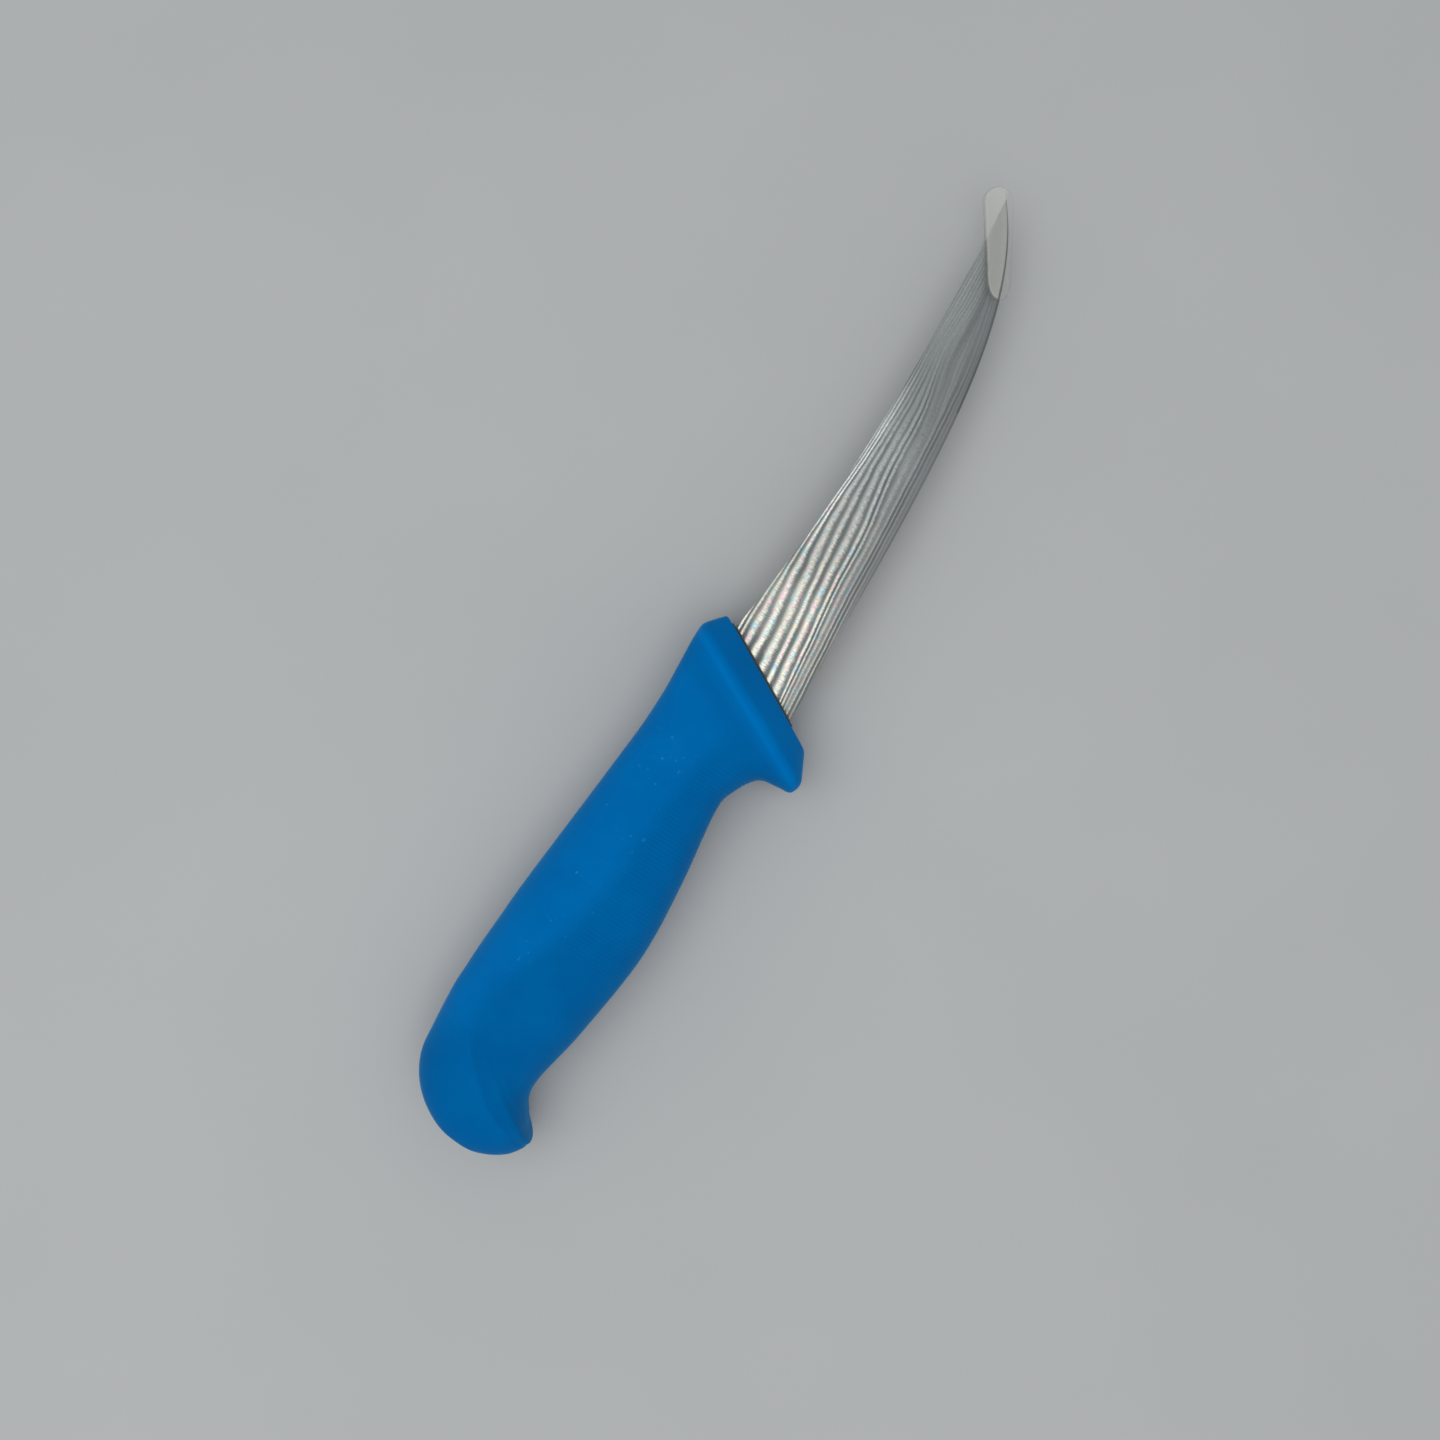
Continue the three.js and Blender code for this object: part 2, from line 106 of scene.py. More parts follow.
# Blade: the steel's looks. A ramp is its start, its end, the value up to the start and the value from the
# end, 0 and 1 if not given; a noise is its scales along and across the blade, and its detail.
STEEL_BRIGHT = (0.575, 0.60, 0.605)
# colour of the dark lines, which are partly painted shade in the grooves, and of the painted shade at the
# guard and on the edge bevel
STEEL_DARK = (0.165, 0.184, 0.182)
# grey of the painted shade along the edge
STEEL_EDGE_SHADE = (0.225, 0.225, 0.235)
STEEL_TINTS = (
    (0.30, (0.44, 0.53, 0.78)),
    (0.39, (0.46, 0.66, 0.58)),
    (0.46, (0.61, 0.63, 0.62)),
    (0.52, (0.74, 0.66, 0.46)),
    (0.57, (0.62, 0.62, 0.61)),
    (0.64, (0.80, 0.53, 0.53)),
    (0.74, (0.62, 0.50, 0.72)),
)
STREAK_NOISE = (1.9, 1.0, 2.0)
SHIFT_NOISE = (0.25, 1.1, 0.0)
TINT_NOISE = (0.32, 0.75, 3.0)
GRAIN_SHIFT = 12.0
WANDER_SCALE = 240
WANDER = 0.24
STREAK_WANDER = 0.2
DEPTH_SCALE = 60
# over the distance from the guard
RIPPLE_SIZE = (65.0, 95.0, 0.1, 0.02)
STREAK_SIZE = (60.0, 88.0, 1.0, 0.3)
LINE_FADE = (78.0, 112.0, 1.0, 0.45)
SPINE_LINE_RISE = (22.0, 38.0, 0.15, 0.9)
# where the edge bevel's painted shade shows fully
BEVEL_SHOWS = (80.5, 81.5, 0.6, 1.0)
TINT_FADE = (18.0, 70.0, 0.85, 0.0)
# painted highlight by the spine, rising and falling along the blade
SPINE_HIGHLIGHT_RISE = (28.0, 50.0)
SPINE_HIGHLIGHT_FALL = (90.0, 65.0)
# painted reflection: the bands lighter and darker along the blade, near the guard and towards the point
BRIGHT_SHADES = ((22.0, 34.0, 1.0, 0.87), (50.0, 66.0, 1.0, 1.12))
FAR_SHADES = ((60.0, 80.0, 1.0, 0.88), (86.0, 104.0, 1.0, 1.13))
# painted shade by the edge, weaker and stronger along the blade
EDGE_SHADE_ALONG = ((8.0, 40.0, 0.6, 1.0), (64.0, 78.0, 1.0, 0.8), (82.0, 96.0, 1.0, 1.15))
# over the height above the edge
# painted shade by the edge, over the height above it
EDGE_SHADE = (1.5, 7.5, 0.82, 0.0)
EDGE_ROUGH = (1.0, 7.0, 0.45, 0.0)
# the edge bevel painted dark as painted shade
EDGE_BEVEL_SHADE = (0.4, 0.9, 1.0, 0.0)
# over the level, which counts the dark lines from the edge up
SPINE_LINE_DEPTH = (8.5, 9.5, 0.0, 0.85)
EDGE_FINE_LINES = (4.0, 6.0, 0.95, 0.15)
SPINE_FINE_LINES = (10.0, 11.0)
# bands that take the painted highlight by the spine, and its strength
SPINE_HIGHLIGHT_LEVEL = (9.0, 11.0)
SPINE_HIGHLIGHT = 0.95
# over other values
LINE_PROFILE = (0.05, 0.9)
FINE_PROFILE = (0.3, 1.0)
LINE_CHANCE = (0.0, 1.0, 0.6, 1.0)
BAND_CHANCE = (0.0, 1.0, 0.85, 1.08)
DEPTH_PATCHES = (0.3, 0.6, 0.8, 1.0)
GRAIN_SHADE = (-0.22, 0.22, 0.76, 1.12)
STEEL_ROUGH = (0.0, 1.0, 0.275, 0.68)

# Tang, inside the handle
TANG_END = -104.0
TANG_SPINE = 14.0
TANG_BELLY = 0.5
TANG_HOLES = (-38.0, -62.0, -86.0)
TANG_HOLE_RADIUS = 3.5

# Handle: the guard's front face, then sections from the guard's crest to the butt,
# as spine point, belly point, half thickness and squareness
SLANT = math.tan(math.radians(27.3))
FACE_SECTION = (17.8 * SLANT, 17.8, -15.7 * SLANT, -15.7, 7.0, 5.0)
GRIP_SECTIONS = (
    (4.4, 21.7, -15.4, -19.4, 11.0, 5.0),
    (0.0, 21.7, -18.4, -18.2, 10.33, 5.0),
    (-7.0, 21.22, -19.0, -14.8, 9.0, 4.2),
    (-14.0, 20.75, -20.2, -10.2, 9.0, 3.4),
    (-23.0, 20.75, -25.5, -6.9, 9.0, 2.6),
    (-32.0, 21.25, -32.0, -5.7, 9.0, 2.6),
    (-52.0, 22.62, -52.0, -8.57, 10.47, 2.6),
    (-72.0, 24.0, -72.0, -10.0, 11.2, 2.6),
    (-81.0, 24.35, -95.0, -7.6, 11.2, 2.6),
    (-91.0, 24.7, -112.0, -4.9, 10.0, 2.6),
    (-96.5, 24.7, -119.6, -8.2, 10.33, 2.6),
    (-102.0, 24.7, -123.0, -11.5, 11.0, 2.6),
)
BUTT_CENTRE = np.array((-112.0, 2.0))
BUTT_LENGTH = 19.85
BUTT_HEIGHT = 21.7
BUTT_SQUARE = 2.16
BUTT_HALF = 11.0
BUTT_STEPS = 5
HOOK_TIP = np.array((-123.0, -11.5))
BUTT_END = BUTT_CENTRE[0] - BUTT_LENGTH
HORN_DEPTH = 19.4
GRIP_SQUARE = 2.6
CHEEK_HALF = 10.7
SKIN = 3.0
FACE_WALL = 3.0
SLOT_MARGIN = 1.3
SLOT_SQUARE = 14.0
GRIP_RING_GAP = 0.3
GRIP_AROUND = 112
CAVITY_RINGS = 40
CAVITY_END_HALF = 8.8
CAVITY_REACH = 0.95
CREST_ROUND = 1.5
FACE_ROUND = 0.7
GRIP_SHARP_DEG = 40

# Belly side of the grip: painted a little darker as painted shade of its ribbed surface, with fine ribs
# across it and painted shade in their grooves. Its upper limit is a height at each distance behind the guard.
RIB_PITCH = 1.0
RIB_DEPTH = 0.06
RIB_SHADE = 0.08
RIB_FRONT = -19.0
RIB_BACK = -84.0
DARK_SIDE_X = (-118.0, -105.0, -90.0, -80.0, -70.0, -50.0, -30.0, -18.0)
DARK_SIDE_TOP = (26.0, 18.0, 14.5, 10.5, 7.5, 5.5, 4.5, 3.0)
BELLY_SHADE = 0.13
# more of the belly's painted shade towards the butt
LOW_SHADE = 0.06

# Painted light and shade on the grip: a painted highlight along the guard's crest, as X at the centre and its
# change with Y, painted shade in the valley behind it and on the bevel before it, and painted light and shade
# either side of the crease of the butt
CREST_LINE = (-6.05, 0.482)
CREST_LIGHT = 0.15
CREST_BEHIND = 2.1
CREST_SPREAD = 0.95
VALLEY_SHADE = 0.11
VALLEY_BEHIND = 7
VALLEY_SPREAD = 3.5
BEVEL_SHADE = 0.1
CREASE_Y = (-6.9, -2.3, 2.8, 7.4, 11.0, 14.5)
CREASE_X = (-123.0, -121.4, -118.9, -114.9, -111.5, -107.9)
CREASE_LIGHT = 0.06
CREASE_STEP = 0.11
CREASE_SPREAD = 5
# painted shade of the two hidden end points
HIDDEN_TONE = 0.84
WORN_SHARE = 0.27

# Grip: the plastic's looks
GRIP_BLUES = ((0.3, (0.0, 0.120, 0.378)), (0.7, (0.0, 0.138, 0.420)))
GRIP_ROUGH = (0.3, 0.7, 0.52, 0.62)
GRIP_SHINE = (0.0, 0.5, 1.0, 1)
GRIP_SHEEN = (0.0, 0.6, 1.0, 1)
SCUFF_COLOUR = (0.05, 0.32, 0.62)
SCUFF_SPECKS = (0.66, 0.80)
SCUFF_PATCHES = (0.44, 0.58)

# Tip guard
TIP_TILT = math.radians(33)
TIP_LENGTH = 28.1
TIP_WIDTH = 7.6
TIP_NEAR_WIDTH = 6.4
TIP_NEAR_LENGTH = 6.0
TIP_THICK = 4.6
TIP_WALL = 0.8
TIP_END = 2.8
TIP_ROUND = 1.2
FIT = 0.3
TIP_TURN_POINTS = 32
TIP_SIDE_POINTS = 28
TIP_FLAT_RINGS = 9
TIP_ROUND_RINGS = 8
SLOT_BEHIND = 5
SLOT_DEEP = 20
TIP_SHARP_DEG = 35

# Tip guard: the plastic's looks
TIP_MILK = ((0.3, (0.515, 0.525, 0.485)), (0.7, (0.54, 0.55, 0.51)))
# painted shade of the rounded rim, a thin dark line
TIP_RIM_SHADE = (0.10, 0.10, 0.095)
TIP_HAZE = 0.47
TIP_LEAST_HAZE = 0.02
TIP_FILM = 0.04
# strength of the rim's painted shade along the guard, and its share outside the blade
TIP_RIM_STRENGTH = (0.45, 0.75, 0.35, 0.15)
TIP_RIM_OUTSIDE = 0.35

# Camera: straight above, the knife's length at this angle in the picture
PICTURE_ANGLE = math.radians(57)
CAMERA_OVER = (-12.9, 5.5)
CAMERA_HEIGHT = 350.0
PICTURE_WIDTH = 349.9
SENSOR = 36.0

# Light of the room, level and straight above, with where the change starts and ends; a panel over the handle
ROOM_SIDES = (0.68, 0.69, 0.695)
ROOM_ABOVE = (0.188, 0.203, 0.208)
ROOM_CHANGE = (0.70, 0.93)
PANEL_OVER = (-0.27, 0.1)
PANEL_HEIGHT = 1.0
PANEL_SIZE = (1.0, 1.4)
PANEL_POWER = 6.6

# Floor
FLOOR_HALF = 6
FLOOR_PALES = ((0.3, (0.438, 0.448, 0.45)), (0.7, (0.458, 0.468, 0.47)))

grip_low, grip_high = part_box("handle_grip")
DATUM = np.array((
    grip_low.x - BUTT_END * MM,
    grip_low.y + HORN_DEPTH * MM,
    (grip_low.z + grip_high.z) / 2,
))


def place(points):
    """Points of the drawing, in millimetres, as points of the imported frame, in metres."""
    return np.asarray(points, float) * MM + DATUM


def smooth(value, start, end):
    """0 at start, 1 at end, eased between them."""
    share = np.clip((value - start) / (end - start), 0, 1)
    return share * share * (3 - 2 * share)


def bezier(first, controls, last, t):
    t = np.asarray(t, float)[:, None]
    second, third = (np.array(c) for c in controls)
    ends = (1 - t) ** 3 * first + t**3 * last
    return ends + 3 * t * (1 - t) ** 2 * second + 3 * t**2 * (1 - t) * third


def spline(points, t):
    """Points at shares t of the smooth curve through the given ones."""
    points = np.asarray(points, float)
    last = len(points) - 1
    spot = np.asarray(t, float) * last
    i = np.minimum(spot.astype(int), last - 1)
    w = (spot - i)[:, None]
    before, here = points[np.maximum(i - 1, 0)], points[i]
    there, after = points[i + 1], points[np.minimum(i + 2, last)]
    leave, arrive = (there - before) / 2, (after - here) / 2
    cubic = 2 * here - 2 * there + leave + arrive
    square = -3 * here + 3 * there - 2 * leave - arrive
    return cubic * w**3 + square * w**2 + leave * w + here


def even_shares(points_at, gap):
    """Shares of a curve, from 0 to 1, whose fastest moving point goes on by about the gap each time."""
    t = np.linspace(0, 1, 6000)
    moves = np.diff(points_at(t), axis=0).reshape(len(t) - 1, -1, 2)
    run = np.concatenate([[0], np.cumsum(np.linalg.norm(moves, axis=2).max(axis=1))])
    return np.interp(np.linspace(0, run[-1], int(run[-1] / gap) + 1), run, t)


def skin(name, rings, first_end, last_end):
    """Closed smooth mesh over rings of equal count, with a fan to one point at each end."""
    rows, count = rings.shape[:2]
    points = np.vstack([rings.reshape(-1, 3), first_end, last_end])
    here = np.arange(count)
    beyond = (here + 1) % count
    starts = (np.arange(rows - 1) * count)[:, None]
    quads = np.stack([starts + here, starts + count + here, starts + count + beyond, starts + beyond], axis=2)
    first, last, end = rows * count, rows * count + 1, (rows - 1) * count
    faces = quads.reshape(-1, 4).tolist()
    faces += [(first, int(i), int(j)) for i, j in zip(here, beyond)]
    faces += [(last, end + int(j), end + int(i)) for i, j in zip(here, beyond)]
    mesh = bpy.data.meshes.new(name)
    mesh.from_pydata(place(points), [], faces)
    return mesh


def finish_piece(name, mesh, body, node, material, sharp_deg):
    """Object of a mesh that rides on a body and stands for a CAD node."""
    mesh.shade_smooth()
    mesh.set_sharp_from_angle(angle=math.radians(sharp_deg))
    mesh.materials.append(material)
    piece = bpy.data.objects.new(name, mesh)
    bpy.context.scene.collection.objects.link(piece)
    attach(piece, body)
    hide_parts(node)


def point_values(mesh, name, values):
    """A number at each vertex, for the material to read."""
    attribute = mesh.attributes.new(name, "FLOAT", "POINT")
    attribute.data.foreach_set("value", np.asarray(values, np.float32))


# Material nodes


def add_node(tree, kind, inputs=None, **settings):
    """A node with its settings; an input is another node's socket or a plain value."""
    made = tree.nodes.new(kind)
    for name, value in settings.items():
        setattr(made, name, value)
    for key, value in (inputs or {}).items():
        if isinstance(value, bpy.types.NodeSocket):
            tree.links.new(value, made.inputs[key])
        else:
            made.inputs[key].default_value = value
    return made


def new_material(name):
    material = bpy.data.materials.new(name)
    material.use_nodes = True
    return material, material.node_tree, material.node_tree.nodes["Principled BSDF"]


def math_node(tree, operation, *values, clamp=False):
    inputs = dict(enumerate(values))
    return add_node(tree, "ShaderNodeMath", inputs, operation=operation, use_clamp=clamp).outputs[0]


def ramp_node(tree, value, start, end, low=0.0, high=1.0):
    """low up to start, high from end, eased between them."""
    inputs = {"Value": value, 1: start, 2: end, 3: low, 4: high}
    settings = {"interpolation_type": "SMOOTHSTEP"}
    return add_node(tree, "ShaderNodeMapRange", inputs, **settings).outputs[0]


def noise_node(tree, place_socket, scale, detail=2.0):
    inputs = {"Vector": place_socket, "Scale": scale, "Detail": detail}
    return add_node(tree, "ShaderNodeTexNoise", inputs).outputs[0]


def colour_ramp(tree, value, stops):
    made = add_node(tree, "ShaderNodeValToRGB", {0: value})
    ramp = made.color_ramp
    while len(ramp.elements) < len(stops):
        ramp.elements.new(0.5)
    for element, (spot, colour) in zip(ramp.elements, stops):
        element.position = spot
        element.color = (*colour, 1)
    return made.outputs[0]


def mix_colour(tree, factor, first, second, blend="MIX"):
    made = add_node(tree, "ShaderNodeMix", data_type="RGBA", blend_type=blend)
    for key, value in ((0, factor), (6, first), (7, second)):
        if isinstance(value, bpy.types.NodeSocket):
            tree.links.new(value, made.inputs[key])
        else:
            made.inputs[key].default_value = value if key == 0 else (*value, 1)
    return made.outputs[2]


def grey(tree, value):
    return add_node(tree, "ShaderNodeCombineColor", {0: value, 1: value, 2: value}).outputs[0]


def bump(tree, shader, height, strength, distance):
    made = add_node(tree, "ShaderNodeBump", {"Height": height, "Strength": strength, "Distance": distance})
    tree.links.new(made.outputs[0], shader.inputs["Normal"])


def value_of(tree, name):
    return add_node(tree, "ShaderNodeAttribute", attribute_name=name).outputs["Fac"]


def object_place(tree):
    return add_node(tree, "ShaderNodeTexCoord").outputs["Object"]


def blade_steel():
    """Bright bands with a fine cross grain, dark lines between them that are partly painted shade, and pale
    tints near the guard, with painted reflection along the blade and by the spine and painted shade at the
    guard and by the edge.
    """
    material, tree, shader = new_material("blade_steel")
    where = object_place(tree)
    along, ahead = value_of(tree, "along"), value_of(tree, "ahead")
    above_edge, level = value_of(tree, "above_edge"), value_of(tree, "level")

    def times(*values):
        product = values[0]
        for value in values[1:]:
            product = math_node(tree, "MULTIPLY", product, value)
        return product

    def times_plus(value, factor, more):
        return math_node(tree, "MULTIPLY_ADD", value, factor, more)

    def larger(first, second):
        return math_node(tree, "MAXIMUM", first, second)

    def ramp(value, stops):
        return ramp_node(tree, value, *stops)

    def side_noise(along_scale, across_scale, detail):
        """Noise on the blade's side, stretched along or across it."""
        scaled = {0: times(along, along_scale), 1: times(above_edge, across_scale)}
        return noise_node(tree, add_node(tree, "ShaderNodeCombineXYZ", scaled).outputs[0], 1.0, detail)

    def chance(number):
        """A fixed number between 0 and 1 for each whole number."""
        return add_node(tree, "ShaderNodeTexWhiteNoise", {"W": number}, noise_dimensions="1D").outputs[0]

    def near_whole(number):
        """1 at each whole number, 0 half-way between two."""
        return math_node(tree, "ABSOLUTE", times_plus(math_node(tree, "FRACT", number), 2, -1))

    # Fine cross grain
    shift = times(side_noise(*SHIFT_NOISE), GRAIN_SHIFT)
    ripple = math_node(tree, "SINE", times_plus(along, 2 * math.pi / GRAIN_PITCH, shift))
    ripple = times(ripple, ramp(along, RIPPLE_SIZE))
    streaks = math_node(tree, "SUBTRACT", side_noise(*STREAK_NOISE), 0.5)
    streaks = times(streaks, ramp(along, STREAK_SIZE))
    grain = math_node(tree, "ADD", ripple, streaks)

    # Dark lines between the bands, and finer ones by the edge and the spine: partly the bands' own pattern,
    # partly painted shade in the grooves between them
    wander = times_plus(noise_node(tree, where, WANDER_SCALE), WANDER, -WANDER / 2)
    spot = math_node(tree, "ADD", level, times_plus(streaks, STREAK_WANDER, wander))
    to_line = near_whole(spot)
    line_depth = ramp(chance(math_node(tree, "ROUND", spot)), LINE_CHANCE)
    line_depth = larger(line_depth, ramp(level, SPINE_LINE_DEPTH))
    depth = ramp(noise_node(tree, where, DEPTH_SCALE), DEPTH_PATCHES)
    depth = times(depth, ramp(along, LINE_FADE), line_depth)
    fine_by_spine = times(ramp(level, SPINE_FINE_LINES), ramp(along, SPINE_LINE_RISE))
    fine = times(ramp(near_whole(times_plus(spot, 2, 0.5)), FINE_PROFILE),
                 larger(ramp(level, EDGE_FINE_LINES), fine_by_spine))
    line = larger(times(ramp(to_line, LINE_PROFILE), depth), times(fine, depth))

    # Painted shade: dark lobes where the blade goes into the guard, and the dark bevel at the edge
    lobe = times_plus(math_node(tree, "POWER", to_line, 3.0), 0.6, 0.25)
    guard_shade = ramp_node(tree, math_node(tree, "SUBTRACT", ahead, lobe), 0.0, 0.25, 1.0, 0.0)
    bevel = times(ramp(above_edge, EDGE_BEVEL_SHADE), ramp(along, BEVEL_SHOWS))
    dark = larger(larger(line, guard_shade), bevel)

    # Bright bands, tinted near the guard, each a little different, with a painted highlight by the spine,
    # painted reflection lighter and darker along the blade, and painted shade by the edge
    tints = colour_ramp(tree, side_noise(*TINT_NOISE), STEEL_TINTS)
    bright = mix_colour(tree, ramp(along, TINT_FADE), STEEL_BRIGHT, tints)
    own = ramp(chance(math_node(tree, "FLOOR", spot)), BAND_CHANCE)
    # painted highlight on the bands by the spine
    glow = times(ramp(level, SPINE_HIGHLIGHT_LEVEL), ramp(along, SPINE_HIGHLIGHT_FALL), ramp(along, SPINE_HIGHLIGHT_RISE))
    shade = times(ramp(grain, GRAIN_SHADE), own, times_plus(glow, SPINE_HIGHLIGHT, 1.0))
    shade = times(shade, times(*(ramp(along, stops) for stops in BRIGHT_SHADES)))
    bright = mix_colour(tree, 1.0, bright, grey(tree, shade), "MULTIPLY")
    # painted shade by the edge
    edge_shade = times(ramp(above_edge, EDGE_SHADE), *(ramp(along, stops) for stops in EDGE_SHADE_ALONG))
    bright = mix_colour(tree, edge_shade, bright, STEEL_EDGE_SHADE)

    # painted reflection: the steel darker, then lighter again towards the point
    far_shade = times(*(ramp(along, stops) for stops in FAR_SHADES))
    steel = mix_colour(tree, dark, bright, STEEL_DARK)
    steel = mix_colour(tree, 1.0, steel, grey(tree, far_shade), "MULTIPLY")
    tree.links.new(steel, shader.inputs["Base Color"])
    rough = ramp(larger(dark, ramp(above_edge, EDGE_ROUGH)), STEEL_ROUGH)
    tree.links.new(rough, shader.inputs["Roughness"])
    shader.inputs["Metallic"].default_value = 1.0
    bump(tree, shader, grain, 0.25, 0.00004)
    return material


def grip_plastic():
    """Matt blue moulding, a little mottled, with a few pale scuffs, and painted light and shade multiplied
    in.
    """
    material, tree, shader = new_material("grip_plastic")
    where = object_place(tree)
    mottle = noise_node(tree, where, 90, 4.0)
    blue = colour_ramp(tree, mottle, GRIP_BLUES)
    # painted highlight and shade from each point's value
    blue = mix_colour(tree, 1.0, blue, grey(tree, value_of(tree, "painted_light_and_shade")), "MULTIPLY")
    specks = ramp_node(tree, noise_node(tree, where, 800, 1.0), *SCUFF_SPECKS)
    patches = ramp_node(tree, noise_node(tree, where, 130, 0.0), *SCUFF_PATCHES)
    scuffs = math_node(tree, "MULTIPLY", specks, math_node(tree, "MULTIPLY", patches, value_of(tree, "worn")))
    tree.links.new(mix_colour(tree, scuffs, blue, SCUFF_COLOUR), shader.inputs["Base Color"])
    tree.links.new(ramp_node(tree, mottle, *GRIP_ROUGH), shader.inputs["Roughness"])
    shader.inputs["Specular IOR Level"].default_value = 0.12
    shader.inputs["Specular Tint"].default_value = GRIP_SHINE
    shader.inputs["Sheen Weight"].default_value = 0.25
    shader.inputs["Sheen Roughness"].default_value = 0.4
    shader.inputs["Sheen Tint"].default_value = GRIP_SHEEN
    bump(tree, shader, noise_node(tree, where, 2600, 2.0), 0.12, 0.00005)
    return material


def core_plastic():
    """Dull near-black moulding."""
    material, tree, shader = new_material("core_plastic")
    grain = noise_node(tree, object_place(tree), 1500, 3.0)
    black = colour_ramp(tree, grain, ((0.3, (0.010, 0.011, 0.012)), (0.7, (0.022, 0.023, 0.025))))
    tree.links.new(black, shader.inputs["Base Color"])
    tree.links.new(ramp_node(tree, grain, 0.3, 0.7, 0.55, 0.7), shader.inputs["Roughness"])
    bump(tree, shader, grain, 0.15, 0.0001)
    return material


def tip_plastic():
    """Clear plastic, milky on top above the space for the blade, with a thin dark line of painted shade round
    its rim.
    """
    material, tree, shader = new_material("tip_plastic")
    top, inside = value_of(tree, "top"), value_of(tree, "inside")
    over_blade = ramp_node(tree, value_of(tree, "above_edge"), 0.6, 1.0)
    # painted shade: a thin dark line round the rim, stronger over the blade
    rim_shade = math_node(tree, "MULTIPLY", top, ramp_node(tree, inside, 0.15, 0.6, 1.0, 0.0))
    cloud = noise_node(tree, object_place(tree), 160, 2.0)
    milk = colour_ramp(tree, cloud, TIP_MILK)
    tree.links.new(mix_colour(tree, rim_shade, milk, TIP_RIM_SHADE), shader.inputs["Base Color"])
    haze = math_node(tree, "MULTIPLY", top, ramp_node(tree, inside, 0.4, 0.8))
    most_haze = math_node(tree, "MULTIPLY_ADD", over_blade, TIP_HAZE, TIP_LEAST_HAZE)
    haze = math_node(tree, "MULTIPLY", haze, most_haze)
    rim_strength = ramp_node(tree, value_of(tree, "share"), *TIP_RIM_STRENGTH)
    by_blade = ramp_node(tree, over_blade, 0.0, 1.0, TIP_RIM_OUTSIDE, 1.0)
    rim_strength = math_node(tree, "MULTIPLY", rim_strength, by_blade)
    alpha = math_node(tree, "MAXIMUM", haze, math_node(tree, "MULTIPLY", rim_shade, rim_strength))
    tree.links.new(math_node(tree, "ADD", alpha, TIP_FILM), shader.inputs["Alpha"])
    shader.inputs["Roughness"].default_value = 0.22
    shader.inputs["Specular IOR Level"].default_value = 0.4
    return material


def floor_paint():
    """Pale matt paint, very slightly clouded."""
    material, tree, shader = new_material("floor_paint")
    cloud = noise_node(tree, object_place(tree), 9, 3.0)
    tree.links.new(colour_ramp(tree, cloud, FLOOR_PALES), shader.inputs["Base Color"])
    shader.inputs["Roughness"].default_value = 0.6
    shader.inputs["Specular IOR Level"].default_value = 0.1
    return material


# Blade


def edge_height(x):
    """Y of the cutting edge at each X, carried on straight behind the heel."""
    edge = bezier(np.array((HEEL_EDGE * SLANT, HEEL_EDGE)), EDGE_CONTROLS, POINT, np.linspace(0, 1, 400))
    behind = np.minimum(x - edge[0, 0], 0) * (edge[1, 1] - edge[0, 1]) / (edge[1, 0] - edge[0, 0])
    return np.interp(x, edge[:, 0], edge[:, 1]) + behind


def band_level(x, above_edge):
    """How many dark lines lie below each spot of the blade's side, as a smooth count."""
    share = np.clip((x - BAND_STATIONS[1]) / (BAND_STATIONS[-1] - BAND_STATIONS[1]), 0, 1)
    lines = spline(np.array(BAND_LINES).T[1:], share)
    first = np.array(BAND_LINES).T[:2]
    near = np.clip(x / BAND_STATIONS[1], -1, 1)[:, None]
    lines = np.where(near < 1, first[0] + (first[1] - first[0]) * near, lines)
    above = above_edge[:, None]
    steps = np.clip((above - lines[:, :-1]) / np.diff(lines, axis=1), 0, 1).sum(axis=1)
    outside = np.minimum(above_edge - lines[:, 0], 0) + np.maximum(above_edge - lines[:, -1], 0)
    return 1 + steps + outside


def half_thickness(x, height, below_spine):
    """Half the blade's thickness: thin at the back, thickest along the ridge, a bevel at the edge."""
    share = np.clip(x / POINT[0], 0, 1)
    ridge = (BLADE_THICK + (POINT_THICK - BLADE_THICK) * share) / 2
    back = np.maximum(ridge - BACK_THIN / 2, EDGE_THICK / 2)
    drop, bevel = np.minimum(RIDGE_DROP, height / 3), np.minimum(BEVEL_WIDTH, height / 3)
    above_edge = height - below_spine
    to_ridge = np.sin(np.clip(below_spine / drop, 0, 1) * np.pi / 2)
    flank = np.clip((above_edge - bevel) / (height - drop - bevel), 0, 1)
    side = BEVEL_THICK / 2 + (ridge - BEVEL_THICK / 2) * np.sin(flank * np.pi / 2)
    side = np.where(below_spine < drop, back + (ridge - back) * to_ridge, side)
    tip = EDGE_THICK / 2 + (BEVEL_THICK - EDGE_THICK) / 2 * above_edge / bevel
    return np.where(above_edge < bevel, tip, side)


